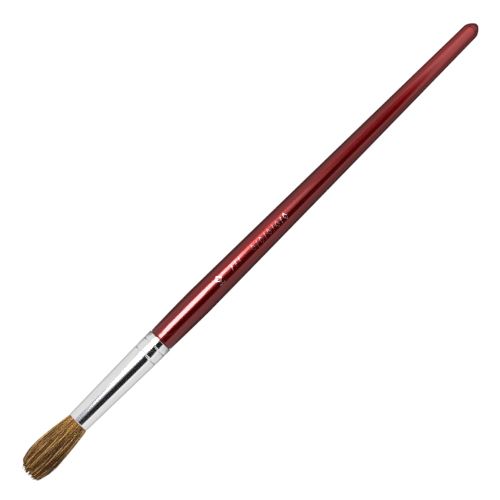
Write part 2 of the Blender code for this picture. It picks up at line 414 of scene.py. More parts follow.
def handle_profile():
    """From the far end back to the shoulder, then along the tenon to its nose."""
    profile = [(LENGTH, 0.0), (LENGTH, FLAT_R * 0.6), (LENGTH - 0.012, FLAT_R * 0.85),
               (LENGTH - 0.045, FLAT_R * 1.02)]
    profile += trace(handle_radius, [ROUND_START + ROUND_LENGTH * math.cos(k * math.pi / 32)
                                     for k in range(1, 17)])
    profile += trace(handle_radius, going_down(ROUND_START - 0.8, WIDEST + 1.0, step=2.4))
    profile += trace(handle_radius, going_down(WIDEST, SHOULDER + 1.3, step=1.2))
    profile += trace(handle_radius, [SHOULDER + 0.7])
    edge = 0.24                                      # radius of the rounded shoulder
    profile += arc(SHOULDER + edge, SHOULDER_R - edge + 0.012, edge, 90, 180, 6)
    profile.append((SHOULDER, tenon_radius(SHOULDER) + 0.05))
    profile.append((SHOULDER - 0.05, tenon_radius(SHOULDER)))
    for centre, half, _ in reversed(CRIMPS):
        profile += trace(tenon_radius, [centre + half * share
                                        for share in (1.0, 0.6, 0.25, -0.25, -0.6, -1.0)])
    chamfer = 0.8
    profile += trace(tenon_radius, [NOSE + chamfer])
    profile += [(NOSE, tenon_radius(NOSE) - chamfer), (NOSE, 0.0)]
    return profile


def make_handle():
    obj = lathe("handle_turned", handle_profile(), steps=112, sharp=38)
    obj.data.materials.append(lacquer_material())
    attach(obj, "handle_and_ferrule")
    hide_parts("handle")


# ------------------------------------------------------------------ silver stamp on the handle
# A place on the stamp is (station, across), in mm; across runs around the handle from its
# top towards -y.
LOZENGE = (103.3, -0.75)


def foil_material():
    shader = Shader("silver_stamp")
    pos = shader.position()
    speck = shader.noise(pos, scale=5200.0, detail=2.0, roughness=0.6)
    colour = shader.ramp(speck, [(0.35, (0.42, 0.41, 0.41)), (0.55, (0.56, 0.55, 0.55)),
                                 (0.75, (0.68, 0.67, 0.66))])
    # the middle of the stamp is printed thinly
    x = shader.split(pos)[0]
    along = shader.share(x, start=world_x(105), length=0.034)
    thin = shader.ramp(along, [(0.03, (1.0, 1.0, 1.0)), (0.10, (0.62, 0.50, 0.54)),
                               (0.40, (0.45, 0.30, 0.36)), (0.86, (0.45, 0.32, 0.36)),
                               (0.93, (1.0, 0.95, 0.92))])
    colour = shader.mix("MULTIPLY", colour, thin)
    # the field of the lozenge is dark
    y = shader.split(pos)[1]
    offsets = []
    for value, centre, half in ((x, world_x(LOZENGE[0]), 0.93 * MM),
                                (y, -LOZENGE[1] * MM, 1.13 * MM)):
        distance = shader.math("ABSOLUTE", shader.math("SUBTRACT", value, centre))
        offsets.append(shader.math("DIVIDE", distance, half))
    field = shader.math("LESS_THAN", shader.math("ADD", *offsets), 1.0)
    colour = shader.mix("MIX", colour, (0.075, 0.070, 0.062), factor=field)
    rough = shader.math("ADD", shader.linear(speck, gain=0.18, offset=0.22),
                        shader.math("MULTIPLY", field, 0.15))
    shader.surface({
        "Base Color": colour,
        "Metallic": 1.0,
        "Roughness": rough,
        "Normal": shader.bump(speck, distance=0.00001, strength=0.5),
    })
    return shader.material


def subdivide(points, closed):
    """Points no more than 0.22 mm apart along a path."""
    line = [points[0]]
    path = list(points) + ([points[0]] if closed else [])
    for (x0, y0), (x1, y1) in zip(path, path[1:]):
        count = max(1, int(math.ceil(math.hypot(x1 - x0, y1 - y0) / 0.22)))
        line += [(x0 + (x1 - x0) * k / count, y0 + (y1 - y0) * k / count)
                 for k in range(1, count + 1)]
    return line[:-1] if closed else line


def stroke_section(before, here, after, width, top, bottom):
    """Four corners of a stroke's section, on the handle's surface."""
    x_in, y_in = here[0] - before[0], here[1] - before[1]
    x_out, y_out = after[0] - here[0], after[1] - here[1]
    product = math.hypot(x_in, y_in) * math.hypot(x_out, y_out)
    cosine = (x_in * x_out + y_in * y_out) / product if product else 1
    # mitred corner: widen where the path turns
    half = width / 2 / max(0.5, math.sqrt(max(0.0, (1 + cosine) / 2)))
    x_way, y_way = after[0] - before[0], after[1] - before[1]
    length = math.hypot(x_way, y_way)
    corners = []
    for side, height in ((1, top), (1, bottom), (-1, bottom), (-1, top)):
        station = here[0] + -y_way / length * half * side
        across = here[1] + x_way / length * half * side
        radius = handle_radius(station)
        angle = across / radius
        radius += height
        corners.append((world_x(station), -radius * MM * math.sin(angle),
                        AXIS_Z + radius * MM * math.cos(angle)))
    return corners


def strokes_to_mesh(name, strokes, top, bottom):
    """Thin curved slabs on the handle, from top to bottom in mm over its surface.

    A stroke is (points, width, closed).
    """
    verts, quads = [], []
    for points, width, closed in strokes:
        line = subdivide(points, closed)
        count = len(line)
        ring = []
        for i, here in enumerate(line):
            before = line[i - 1] if closed or i else here
            after = line[(i + 1) % count] if closed or i < count - 1 else here
            ring.append(tuple(range(len(verts), len(verts) + 4)))
            verts += stroke_section(before, here, after, width, top, bottom)
        for i in range(count if closed else count - 1):
            near, far = ring[i], ring[(i + 1) % count]
            for k in range(4):
                quads.append((near[k], near[(k + 1) % 4], far[(k + 1) % 4], far[k]))
        if not closed:
            quads += [ring[0][::-1], ring[-1]]
    obj = mesh_from_arrays(name, np.array(verts, float), [np.array(quads)])
    obj.data.set_sharp_from_angle(angle=math.radians(30))
    return obj


def diamond(centre, half_length, half_width, width):
    station, across = centre
    points = [(station - half_length, across), (station, across + half_width),
              (station + half_length, across), (station, across - half_width)]
    return (points, width, True)


def slanted_bar(station, start, end, width):
    """A bar over 0.8 mm of stations, from one across to another."""
    return ([(station - 0.40, start), (station + 0.40, end)], width, False)


def make_stamp():
    """A lozenge, three ticks, and a row of diamonds and slanted bars."""
    # lozenge, the block that fills it, and a bar beside it
    strokes = [
        diamond(LOZENGE, half_length=1.15, half_width=1.40, width=0.24),
        ([(102.85, LOZENGE[1]), (103.75, LOZENGE[1])], 1.10, False),
        ([(101.9, 1.45), (104.7, 1.45)], 0.22, False),
    ]
    strokes += [slanted_bar(station, 0.75, -1.25, width=0.20)
                for station in (109.9, 111.9, 113.9)]
    first, pitch = 120.9, 2.1
    for k in range(9):
        station = first + k * pitch
        if k % 2 == 0:
            strokes.append(diamond((station, 0.05), half_length=0.72, half_width=1.30,
                                   width=0.16))
        else:
            strokes.append(slanted_bar(station, 1.30, -1.20, width=0.19))
    obj = strokes_to_mesh("handle_stamp", strokes, top=0.022, bottom=-0.03)
    obj.data.materials.append(foil_material())
    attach(obj, "handle_and_ferrule")


# ------------------------------------------------------------------ ferrule
def nickel_material():
    shader = Shader("polished_nickel")
    pos = shader.position()
    # faint lines drawn along the tube, and softer clouds
    drawn = shader.noise(pos, scale=(55.0, 6500.0, 6500.0), detail=3.0, roughness=0.55)
    soft = shader.noise(pos, scale=(120.0, 420.0, 420.0), detail=2.0, roughness=0.5)
    colour = shader.ramp(drawn, [(0.3, (0.70, 0.695, 0.69)), (0.55, (0.755, 0.75, 0.745)),
                                 (0.75, (0.79, 0.785, 0.78))])
    clouds = shader.ramp(soft, [(0.35, (0.9, 0.9, 0.93)), (0.65, (1.0, 1.0, 0.99))])
    shader.surface({
        "Base Color": shader.mix("MULTIPLY", colour, clouds, factor=0.35),
        "Metallic": 1.0,
        "Roughness": shader.linear(soft, gain=0.04, offset=0.075),
        "Normal": shader.bump(drawn, distance=0.000002, strength=0.35),
    })
    return shader.material


def ferrule_profile():
    """Outside from the handle end to the mouth, round the lip, and back along the bore."""
    def bore_radius(station):
        return ferrule_radius(station) - WALL

    lip = 0.10                                       # rounding of the handle end
    outer, inner = ferrule_radius(FERRULE_END), bore_radius(FERRULE_END)
    profile = [(FERRULE_END, inner + lip), (FERRULE_END, outer - lip)]
    profile += arc(FERRULE_END - lip, outer - lip, lip, 0, 90, 4)[1:]
    for centre, half, _ in reversed(CRIMPS):
        profile += trace(ferrule_radius, [centre + half * (1 - k / 8) for k in range(17)])
        profile += trace(ferrule_radius, [centre - half - 0.25])
    cone_start = CRIMPS[0][0] - 3.0
    profile += trace(ferrule_radius, going_down(cone_start, MOUTH + 1.5, step=3.2))
    profile += trace(ferrule_radius, [MOUTH + 0.5])
    middle = (ferrule_radius(MOUTH) + bore_radius(MOUTH)) / 2
    profile += arc(MOUTH + WALL / 2, middle, WALL / 2, 90, 270, 8)
    profile += trace(bore_radius, [MOUTH + 1.5, cone_start])
    for centre, half, _ in CRIMPS:
        profile += trace(bore_radius, [centre - half * (1 - k / 4) for k in range(9)])
    profile.append((FERRULE_END - lip, inner))
    return profile


def make_ferrule():
    obj = lathe("ferrule_tube", ferrule_profile(), steps=112, sharp=50, closed=True)
    obj.data.materials.append(nickel_material())
    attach(obj, "handle_and_ferrule")
    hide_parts("ferrule")


# ------------------------------------------------------------------ hair bundle in the ferrule
# (station, radius), waisted where the thread binds it
ROOT_PROFILE = [
    (43.0, 0.0), (43.0, 1.6), (42.95, 2.9), (42.7, 3.08), (41.4, 3.10), (41.1, 3.08),
    (40.5, 2.86), (39.9, 2.72), (39.2, 2.70), (38.2, 2.70), (37.2, 2.70), (36.6, 2.72),
    (35.6, 2.98), (34.6, 3.30), (33.6, 3.60), (32.2, 3.78), (30.65, 3.80), (30.65, 0.0),
]


def root_material():
    shader = Shader("root_hair")
    streak = shader.noise(shader.position(), scale=(60.0, 5200.0, 5200.0),
                          detail=3.0, roughness=0.6)
    shader.surface({
        "Base Color": shader.ramp(streak, [(0.25, (0.10, 0.045, 0.014)),
                                           (0.5, (0.24, 0.125, 0.045)),
                                           (0.75, (0.40, 0.24, 0.10))]),
        "Roughness": 0.5,
        "Normal": shader.bump(streak, distance=0.00008, strength=0.8),
    })
    return shader.material


def make_root():
    phases = np.random.RandomState(7).uniform(0, 6.28, 5)

    def ridges(station, radius, angle):
        """Fine and broad grooves between the hairs, away from the end faces' middles."""
        if radius <= 0.5:
            return radius
        wander = 0.8 * math.sin(3 * angle + phases[0])
        fine = 0.5 + 0.5 * math.sin(64 * angle + wander + phases[1])
        broad = 0.5 + 0.5 * math.sin(23 * angle + phases[2] + 0.15 * station)
        return radius * (1 - 0.018 * fine - 0.012 * broad)

    obj = lathe("hair_root_bundle", ROOT_PROFILE, steps=256, sharp=50, wobble=ridges)
    obj.data.materials.append(root_material())
    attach(obj, "handle_and_ferrule")
    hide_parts("hair_root")


# ------------------------------------------------------------------ hair
# name, and the stations of its rings from the handle side to the tip side
HAIR_PARTS = [
    ("hair_heel", [30.6, 28.2, 27.65, 27.25, 26.85, 26.1, 24.7, 23.2]),
    ("hair_lower_belly", [23.2, 22.0, 20.9, 19.8, 18.7, 17.6]),
    ("hair_upper_belly", [17.6, 16.5, 15.4, 14.3, 13.2, 12.1]),
    ("hair_shoulder", [12.1, 11.0, 9.9, 8.8, 7.7, 6.6]),
]
POINTS_START = HAIR_PARTS[-1][1][-1]
POINTS_RINGS = 6
ROUNDED_CORE = [12.1, 11.4, 10.6, 9.8, 9.2, 8.8]     # core stations of hair_shoulder
CORE_STEPS = 36
# bodies named for each part and the stations where each blend would start and end; bake_transform
# takes them but does not use them, so the parts do not bend between bodies
BODIES = ["handle_and_ferrule", "heel", "lower_belly", "upper_belly", "tip"]
BLENDS = [(28.35, 23.6), (23.0, 17.8), (17.4, 12.3), (12.0, 6.8)]

# Stout hairs on the surface that run the whole way: their numbers, ranges of thickness and
# tone, how much they gather at the top and underside, and how much they thin at the root.
STOUT_HAIRS = [
    dict(first=0, count=66, thick=(0.094, 0.124), tone=(0.90, 1.00), gather=0.4, slim=0.50),
    dict(first=66, count=64, thick=(0.095, 0.130), tone=(0.02, 0.09), gather=0.0, slim=0.20),
]
# tone shifts that the wisps take in turn around the bundle
WISP_TONES = np.array([0.26, -0.17, 0.02, -0.10, 0.12, -0.17, 0.04, -0.08, 0.20, -0.16, 0.00])
TIP_RANGE = (0.12, 10.5)                             # stations where a hair may end


def hair_material():
    shader = Shader("natural_hair")
    tone, along = shader.split(shader.node("UVMap", uv_map="OFBake")[0])[:2]
    colour = shader.ramp(tone, [
        (0.00, (0.030, 0.013, 0.0045)),
        (0.22, (0.085, 0.039, 0.0085)),
        (0.45, (0.190, 0.102, 0.023)),
        (0.68, (0.330, 0.193, 0.052)),
        (0.88, (0.540, 0.350, 0.135)),
        (1.00, (0.800, 0.620, 0.380)),
    ])
    # from the tips to the ferrule
    tint = shader.ramp(along, [
        (0.00, (1.40, 1.25, 0.90)),
        (0.06, (1.20, 1.06, 0.80)),
        (0.12, (0.90, 0.81, 0.62)),
        (0.19, (0.66, 0.54, 0.42)),
        (0.30, (0.65, 0.54, 0.39)),
        (0.42, (0.72, 0.64, 0.48)),
        (0.56, (0.86, 0.75, 0.56)),
        (0.66, (1.02, 0.90, 0.68)),
        (0.77, (1.38, 1.33, 1.06)),
        (0.83, (1.48, 1.32, 1.06)),
        (0.90, (1.56, 1.32, 1.08)),
    ])
    colour = shader.mix("MULTIPLY", colour, tint)
    # each step of tone is a little redder or more straw-coloured than the next
    column = shader.math("FLOOR", shader.math("MULTIPLY", tone, float(TONE_COLUMNS)))
    chance = shader.node("TexWhiteNoise", noise_dimensions="1D")
    shader.put(chance[0].node.inputs["W"], column)
    hue = shader.ramp(chance[0], [(0.0, (1.14, 0.90, 0.80)), (0.35, (1.02, 0.99, 0.97)),
                                  (1.0, (0.93, 1.04, 1.00))])
    shader.surface({
        "Base Color": shader.mix("MULTIPLY", colour, hue),
        "Roughness": 0.42,
        "Specular IOR Level": 0.20,
    })
    return shader.material


def disc_points(radii, angles):
    return np.stack([radii * np.cos(angles), radii * np.sin(angles)], 1)


def scatter(rng, count):
    """Centres over the unit disc, each the most remote of 14 candidates."""
    points = [np.array([0.0, 0.0])]
    while len(points) < count:
        radii = np.sqrt(rng.uniform(0, 1.02, 14))
        found = disc_points(radii, rng.uniform(0, 2 * math.pi, 14))
        apart = ((found[:, None] - np.array(points)[None]) ** 2).sum(2).min(1)
        points.append(found[apart.argmax()])
    return np.array(points)


def nearest(points, centres):
    return ((points[:, None] - centres[None]) ** 2).sum(2).argmin(1)


def dome(places, middle):
    """Blunt slanted end of the bundle: stations over places in the unit disc."""
    y, z = places[:, 0], np.abs(places[:, 1])
    sides = np.where(y > 0, 2.5 * np.abs(y) ** 2.5, 0.9 * np.abs(y) ** 4)
    return middle + 2.2 * z ** 2.6 + sides


class Hair:
    """The hairs of the bundle, as arrays with one entry each.

    Hairs gather in wisps and wisps in locks. A place is (y, z) in a disc of radius 1 that
    bundle_radius scales at each station.
    """

    def __init__(self, seed, outer, inner):
        rng = np.random.RandomState(seed)
        self.count = outer + inner
        self.full = np.arange(self.count) < outer    # inner hairs only show near the tip
        self.set_places(rng, outer, inner)
        self.set_bends(rng)
        self.set_tips(rng)
        self.set_tones(rng)
        self.thick = rng.uniform(0.062, 0.092, self.count)
        self.sway = rng.normal(0, 0.010, self.count)    # slow wander round the bundle
        self.slim = np.full(self.count, 0.15)           # how much thinner the root is
        for group in STOUT_HAIRS:
            self.lay_stout(rng, **group)
        self.spin = rng.uniform(0, 2 * math.pi, self.count)

    def set_places(self, rng, outer, inner):
        self.depth = np.empty(self.count)            # distance from the bundle's axis
        self.depth[:outer] = np.sqrt(rng.uniform(0.70 ** 2, 1.0, outer))
        self.depth[outer:] = np.sqrt(rng.uniform(0.0, 0.72 ** 2, inner))
        self.place = disc_points(self.depth, rng.uniform(0, 2 * math.pi, self.count))
        self.locks = scatter(rng, 58)
        self.wisps = scatter(rng, 410)
        self.lock_of_wisp = nearest(self.wisps, self.locks)
        self.wisp_of = nearest(self.place, self.wisps)
        self.lock_of = self.lock_of_wisp[self.wisp_of]

    def set_bends(self, rng):
        count, lock_count, wisp_count = self.count, len(self.locks), len(self.wisps)
        self.lock_turn = rng.normal(0, 0.055, lock_count)    # sideways lean at the tip
        self.wisp_turn = rng.normal(0, 0.050, wisp_count)
        self.lock_out = rng.normal(0, 0.034, lock_count)     # outward lean
        self.wisp_out = rng.normal(0, 0.030, wisp_count)
        self.hug = np.clip(rng.normal(0.74, 0.15, count), 0.15, 0.97)   # pull to its wisp
        self.stray = rng.uniform(0, 1, count) < 0.010
        self.phase = rng.uniform(0, 2 * math.pi, (count, 2))
        self.wave = rng.normal(0, 0.022, (count, 2)) * (1 + 2.0 * self.stray[:, None])
        self.wave_length = rng.uniform(9.0, 20.0, count)
        self.turn = rng.normal(0, 0.026, count) + np.where(
            self.stray, rng.normal(0, 0.10, count), 0)

    def set_tips(self, rng):
        """Where each hair ends: a blunt dome, slanted, ragged by locks."""
        lock_rag = rng.normal(0, 0.50, len(self.locks))
        wisp_rag = rng.normal(0, 0.36, len(self.wisps))
        ragged = lock_rag[self.lock_of] + wisp_rag[self.wisp_of] + rng.normal(0, 0.20, self.count)
        # locks and wisps are pointed: the hairs at their sides stop sooner
        for centres, owner, reach, pull in ((self.locks, self.lock_of, 0.14, 0.60),
                                            (self.wisps, self.wisp_of, 0.055, 0.20)):
            side = np.linalg.norm(self.place - centres[owner], axis=1) / reach
            ragged += pull * np.clip(side, 0, 1.4) ** 2 - pull / 2
        # some hairs are clearly shorter
        short = rng.exponential(1.0, self.count) * np.where(
            rng.uniform(0, 1, self.count) < 0.18, 1.2, 0.12)
        self.tip = np.clip(dome(self.place, 0.95) + ragged + short, *TIP_RANGE)

    def set_tones(self, rng):
        count, wisp_count = self.count, len(self.wisps)
        by_lock = rng.normal(0, 1, len(self.locks))
        by_wisp = rng.normal(0, 1, wisp_count)
        # pale, middling and dark wisps take turns around the bundle, loosely
        around = np.arctan2(self.wisps[:, 1], self.wisps[:, 0])
        order = np.argsort(around + rng.normal(0, 0.03, wisp_count))
        kind = np.empty(wisp_count)
        turns = (np.arange(wisp_count) + rng.randint(0, 2, wisp_count)) % len(WISP_TONES)
        kind[order] = WISP_TONES[turns]
        tone = 0.44 + 0.02 * by_lock[self.lock_of] + (kind + 0.05 * by_wisp)[self.wisp_of]
        tone += rng.normal(0, 0.08, count)
        tone += np.where(rng.uniform(0, 1, count) < 0.08, 0.22, 0.0)    # pale hairs
        tone -= np.where(rng.uniform(0, 1, count) < 0.10, 0.16, 0.0)    # dark hairs
        # painted shade: hairs deeper in the bundle are darkened as if shaded
        tone -= 0.9 * np.clip(0.95 - self.depth, 0, 1)                  # darker in the depth
        self.tone = np.clip(tone, 0.02, 0.98)

    def lay_stout(self, rng, first, count, thick, tone, gather, slim):
        ids = np.arange(first, first + count)
        around = (np.arange(count) + rng.uniform(0.1, 0.9, count)) * 2 * math.pi / count
        around = around - gather * np.sin(2 * around)
        self.place[ids] = disc_points(rng.uniform(0.985, 1.010, count), around)
        self.wisp_of[ids] = nearest(self.place[ids], self.wisps)
        self.lock_of[ids] = self.lock_of_wisp[self.wisp_of[ids]]
        self.hug[ids] = rng.uniform(0.05, 0.25, count)
        self.thick[ids] = rng.uniform(*thick, count)
        self.tone[ids] = rng.uniform(*tone, count)
        self.wave[ids] *= 0.6
        self.turn[ids] = rng.normal(0, 0.150, count)
        self.slim[ids] = slim
        self.stray[ids] = False
        self.sway[ids] = rng.normal(0, 0.105, count)
        self.wave_length[ids] = rng.uniform(24.0, 42.0, count)
        ends = dome(self.place[ids], 1.1) + rng.normal(0, 0.5, count)
        self.tip[ids] = np.clip(ends, *TIP_RANGE)

    def centre_lines(self, ids, stations):
        """Points (hairs, rings, 3) in metres, for stations of shape (hairs, rings)."""
        lock, wisp = self.lock_of[ids], self.wisp_of[ids]
        out = np.clip((27.0 - stations) / 27.0, 0, 1)    # 0 near the mouth, 1 at the tip
        # gather into wisps, then wisps into locks
        place = np.repeat(self.place[ids][:, None], stations.shape[1], 1)
        to_wisp = (0.30 + 0.70 * out ** 0.9)[..., None] * self.hug[ids][:, None, None]
        to_lock = (0.32 * out ** 1.6)[..., None]
        place = place + (self.wisps[wisp][:, None] - place) * to_wisp * (out > 0)[..., None]
        place = place + (self.locks[lock][:, None] - place) * to_lock
        # lean and wander around the bundle
        depth = np.linalg.norm(place, axis=2)
        angle = np.arctan2(place[..., 1], place[..., 0])
        lean = (self.lock_turn[lock] + self.wisp_turn[wisp] + self.turn[ids])[:, None]
        angle = angle + lean * out ** 1.5
        phase = self.phase[ids][:, None]
        turns = 2 * math.pi * stations / self.wave_length[ids][:, None]
        angle = angle + (self.sway[ids][:, None] * np.sin(turns + phase[..., 1])
                         * smoothstep(out * 2.6))
        # lean outwards, held near the outside of the bundle
        spread = (self.lock_out[lock] + self.wisp_out[wisp])[:, None]
        loose = np.where(self.stray[ids][:, None], 0.06 * out ** 2, 0)
        depth = depth * (1 + spread * smoothstep(out * 1.6)) + loose
        edge = np.where(stations > 26.9, 0.985, 1.02)
        depth = np.where(depth > edge, edge + (depth - edge) * 0.15, depth)
        radius = depth * bundle_radius(stations)
        y, z = radius * np.cos(angle), radius * np.sin(angle)
        # each hair has a wave of its own
        wave = self.wave[ids][:, None]
        amount = smoothstep(out * 2.2)
        y = y + wave[..., 0] * np.sin(turns + phase[..., 0]) * amount * 2.2
        z = z + wave[..., 1] * np.sin(turns * 1.13 + phase[..., 1]) * amount * 2.2
        # the bundle sits a little towards -y, and its tip leans that way
        y = y - 0.10 * smoothstep((28.2 - stations) / 2.5)
        y = y - 0.40 * np.clip((10.0 - stations) / 10.0, 0, 1) ** 2
        return np.stack([world_x(stations), y * MM, AXIS_Z + z * MM], 2)

    def strands(self, ids, stations):
        """Three-sided tapered hairs as a part for mesh_from_parts."""
        centres = self.centre_lines(ids, stations)
        left = np.clip(stations - self.tip[ids][:, None], 0, None)
        taper = 0.30 + 0.70 * smoothstep((left + 0.15) / 4.2)
        root = 1 - self.slim[ids][:, None] * smoothstep((stations - 15) / 11)
        radius = self.thick[ids][:, None] * taper * root * MM
        angle = self.spin[ids][:, None] + np.arange(3)[None] * 2 * math.pi / 3
        offset = np.stack([np.zeros_like(angle), np.cos(angle), np.sin(angle)], 2)[:, None]
        verts = centres[:, :, None, :] + radius[:, :, None, None] * offset

        along = np.gradient(centres, axis=1)
        along /= np.linalg.norm(along, axis=2, keepdims=True)
        along = along[:, :, None]
        normals = offset - (along * offset).sum(3, keepdims=True) * along
        normals /= np.linalg.norm(normals, axis=3, keepdims=True)

        column = np.floor(self.tone[ids] * TONE_COLUMNS) / TONE_COLUMNS
        u = column[:, None, None] + np.array([0.06, 0.5, 0.94])[None, None] / TONE_COLUMNS
        u = np.broadcast_to(u, verts.shape[:3])
        v = np.broadcast_to((stations / UV_LENGTH)[:, :, None], verts.shape[:3])
        uvs = np.stack([u, v], 3)
        return (verts.reshape(-1, 3), normals.reshape(-1, 3), uvs.reshape(-1, 2),
                *strand_faces(*stations.shape))


def strand_faces(count, rings):
    """Quads of the sides and triangles of the two ends, as vertex numbers."""
    start = np.arange(count) * rings * 3
    base = start[:, None, None] + (np.arange(rings - 1) * 3)[None, :, None]
    side = np.arange(3)[None, None]
    after = (side + 1) % 3
    quads = np.stack([base + side, base + after, base + 3 + after, base + 3 + side], 3)
    end = start + (rings - 1) * 3
    tris = np.concatenate([np.stack([start + 2, start + 1, start], 1),
                           np.stack([end, end + 1, end + 2], 1)])
    return quads.reshape(-1, 4), tris


def core_part(stations):
    """Inside of the bundle as one dark surface, closed at both ends, as a part for mesh_from_parts;
    its darkness is painted shade in place of the shaded hairs there.
    """
    verts = []
    for station in stations:
        radius = float(bundle_radius(station)) * 0.80
        if station < ROUNDED_CORE[0]:
            radius *= math.sqrt(1 - ((ROUNDED_CORE[0] - station) / 3.5) ** 2)
        for k in range(CORE_STEPS):
            angle = 2 * math.pi * k / CORE_STEPS
            uneven = 1 + 0.03 * math.sin(angle * 9 + 1.3) + 0.02 * math.sin(angle * 17)
            verts.append(ring_point(station, radius * uneven, angle))
    first, last = len(verts), len(verts) + 1
    verts += [axis_point(stations[0]), axis_point(stations[-1])]
    verts = np.array(verts, float)

    rows = np.arange(first).reshape(-1, CORE_STEPS)
    turned = np.roll(rows, -1, axis=1)
    quads = np.stack([rows[:-1], turned[:-1], turned[1:], rows[1:]], 2).reshape(-1, 4)
    tris = [(first, turned[0, k], rows[0, k]) for k in range(CORE_STEPS)]
    tris += [(last, rows[-1, k], turned[-1, k]) for k in range(CORE_STEPS)]

    # the core takes the three darkest steps of tone, as painted shade
    around = np.arctan2(verts[:, 2] - AXIS_Z, verts[:, 1]) / (2 * math.pi) + 0.5
    uvs = np.stack([(0.1 + 0.8 * around) / TONE_COLUMNS * 3,
                    (verts[:, 0] - TIP_X) / MM / UV_LENGTH], 1)
    normals = verts - [0, 0, AXIS_Z]
    on_axis = np.abs(normals[:, 1:]).sum(1) < 1e-9
    normals[:, 0] = np.where(on_axis, 1.0, 0.0)
    normals /= np.linalg.norm(normals, axis=1, keepdims=True)
    return verts, normals, uvs, quads, np.array(tris)


def make_hair_part(name, hair, stations, material):
    """One stretch of the bundle; without stations, the points, where every hair ends."""
    start = stations[0] if stations else POINTS_START
    alive = (hair.tip < start - 0.05) & (hair.full | (start < 12.2))
    parts = []
    if stations:
        rings = np.array(stations, float)
        end = stations[-1]
        goes_on = hair.tip < end - 0.05
        whole = np.nonzero(alive & goes_on)[0]
        parts.append(hair.strands(whole, np.repeat(rings[None], len(whole), 0)))
        ending = np.nonzero(alive & ~goes_on)[0]
        shares = (start - rings) / (start - end)
    else:
        ending = np.nonzero(alive)[0]
        shares = np.linspace(0, 1, POINTS_RINGS)
    if len(ending):
        to_tip = start + (hair.tip[ending][:, None] - start) * shares[None]
        parts.append(hair.strands(ending, to_tip))
    if stations:
        parts.append(core_part(ROUNDED_CORE if name == "hair_shoulder" else stations))
    obj = mesh_from_parts(name, parts)
    obj.data.materials.append(material)
    return obj


def make_hair():
    hair = Hair(seed=5, outer=3650, inner=1700)
    material = hair_material()
    made = [make_hair_part(name, hair, stations, material)
            for name, stations in HAIR_PARTS + [("hair_points", None)]]
    for k, (start, end) in enumerate(BLENDS):
        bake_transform(made[k], BODIES[k], BODIES[k + 1], start=axis_point(start), end=axis_point(end))
    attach(made[4], "tip")
    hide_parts("tuft_heel")
    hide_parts("tuft_lower_belly")
    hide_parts("tuft_upper_belly")
    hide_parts("tuft_tip")


# ------------------------------------------------------------------ thread and glue in the ferrule
def thread_material():
    shader = Shader("waxed_thread")
    vector = shader.scaled(shader.position(), (900.0, 900.0, 900.0))
    twist = shader.node("TexWave", {"Scale": 1.6, "Distortion": 1.2, "Vector": vector},
                        wave_type="BANDS", bands_direction="DIAGONAL")["Fac"]
    shader.surface({
        "Base Color": shader.ramp(twist, [(0.1, (0.38, 0.33, 0.24)), (0.6, (0.62, 0.56, 0.43)),
                                          (0.95, (0.72, 0.66, 0.53))]),
        "Roughness": 0.62,
        "Normal": shader.bump(twist, distance=0.00006, strength=0.8),
    })
    return shader.material


def adhesive_material():
    shader = Shader("set_adhesive")
    cloud = shader.noise(shader.position(), scale=900.0, detail=4.0, roughness=0.6)
    shader.surface({
        "Base Color": shader.ramp(cloud, [(0.3, (0.20, 0.09, 0.025)), (0.55, (0.36, 0.19, 0.06)),
                                          (0.8, (0.50, 0.30, 0.12))]),
        "Roughness": shader.linear(cloud, gain=0.25, offset=0.18),
        "Normal": shader.bump(cloud, distance=0.0001, strength=0.4),
    })
    return shader.material


def dress_hidden_nodes():
    for name, material in (("root_binding_thread", thread_material()),
                           ("root_adhesive", adhesive_material())):
        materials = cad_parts[name].data.materials
        materials.clear()
        materials.append(material)


# ------------------------------------------------------------------ stage
# Places and sizes on the stage are in metres.
FLOOR_Z = -0.016                                     # leaves room for the hair to bend down
PANEL_RISE = 0.40                                    # overhead panels above the axis
CAMERA_RISE = 0.95                                   # camera above the axis
VIEW_WIDTH = 0.18855                                 # width seen at the axis
VIEW_STATION = 119.35215                             # mm, middle of the view

# brightness along the soft box: (x, share of its strength)
SOFT_BOX_FADE = [
    (-0.015, 1.0), (-0.005, 0.82), (0.003, 0.70), (0.011, 0.30), (0.019, 0.17), (0.027, 0.12),
    (0.045, 0.105), (0.059, 0.09), (0.067, 0.034), (0.075, 0.022), (0.091, 0.011),
]
# brightness of the floor in reflections, low near the brush as a painted shadow: (distance sideways
# from the brush, brightness)
FLOOR_IN_FERRULE = [(0.008, 0.40), (0.027, 0.58), (0.050, 0.80), (0.120, 0.87)]
FLOOR_IN_HANDLE = [(0.012, 0.0), (0.028, 0.0), (0.050, 0.18), (0.090, 0.36), (0.130, 0.48),
                   (0.290, 0.72)]


def quad_object(name, corners, shader):
    mesh = bpy.data.meshes.new(name)
    mesh.from_pydata(corners, [], [(0, 1, 2, 3)])
    mesh.materials.append(shader.material)
    return link_object(name, mesh)


def mirror_panel(name, corners, shader, mask, strength, colour=(1, 1, 1), profile=None):
    """A glowing panel that only mirror-like surfaces see, clear where the mask is 0.

    profile is a socket that scales the strength from place to place.
    """
    glow = shader.node("Emission", {"Color": colour, "Strength": strength})[0]
    if profile:
        shader.put(glow.node.inputs["Strength"], shader.math("MULTIPLY", profile, strength))
    clear = shader.node("BsdfTransparent")[0]
    mixed = shader.node("MixShader", {0: mask, 1: clear, 2: glow})[0]
    shader.put(shader.nodes["Material Output"].inputs["Surface"], mixed)
    shader.nodes.remove(shader.nodes["Principled BSDF"])
    shader.material.cycles.emission_sampling = "FRONT_BACK" if strength > 5 else "NONE"
    obj = quad_object(name, corners, shader)
    obj.visible_camera = False
    obj.visible_diffuse = False
    obj.visible_shadow = False
    obj.visible_transmission = False
    obj.visible_volume_scatter = False


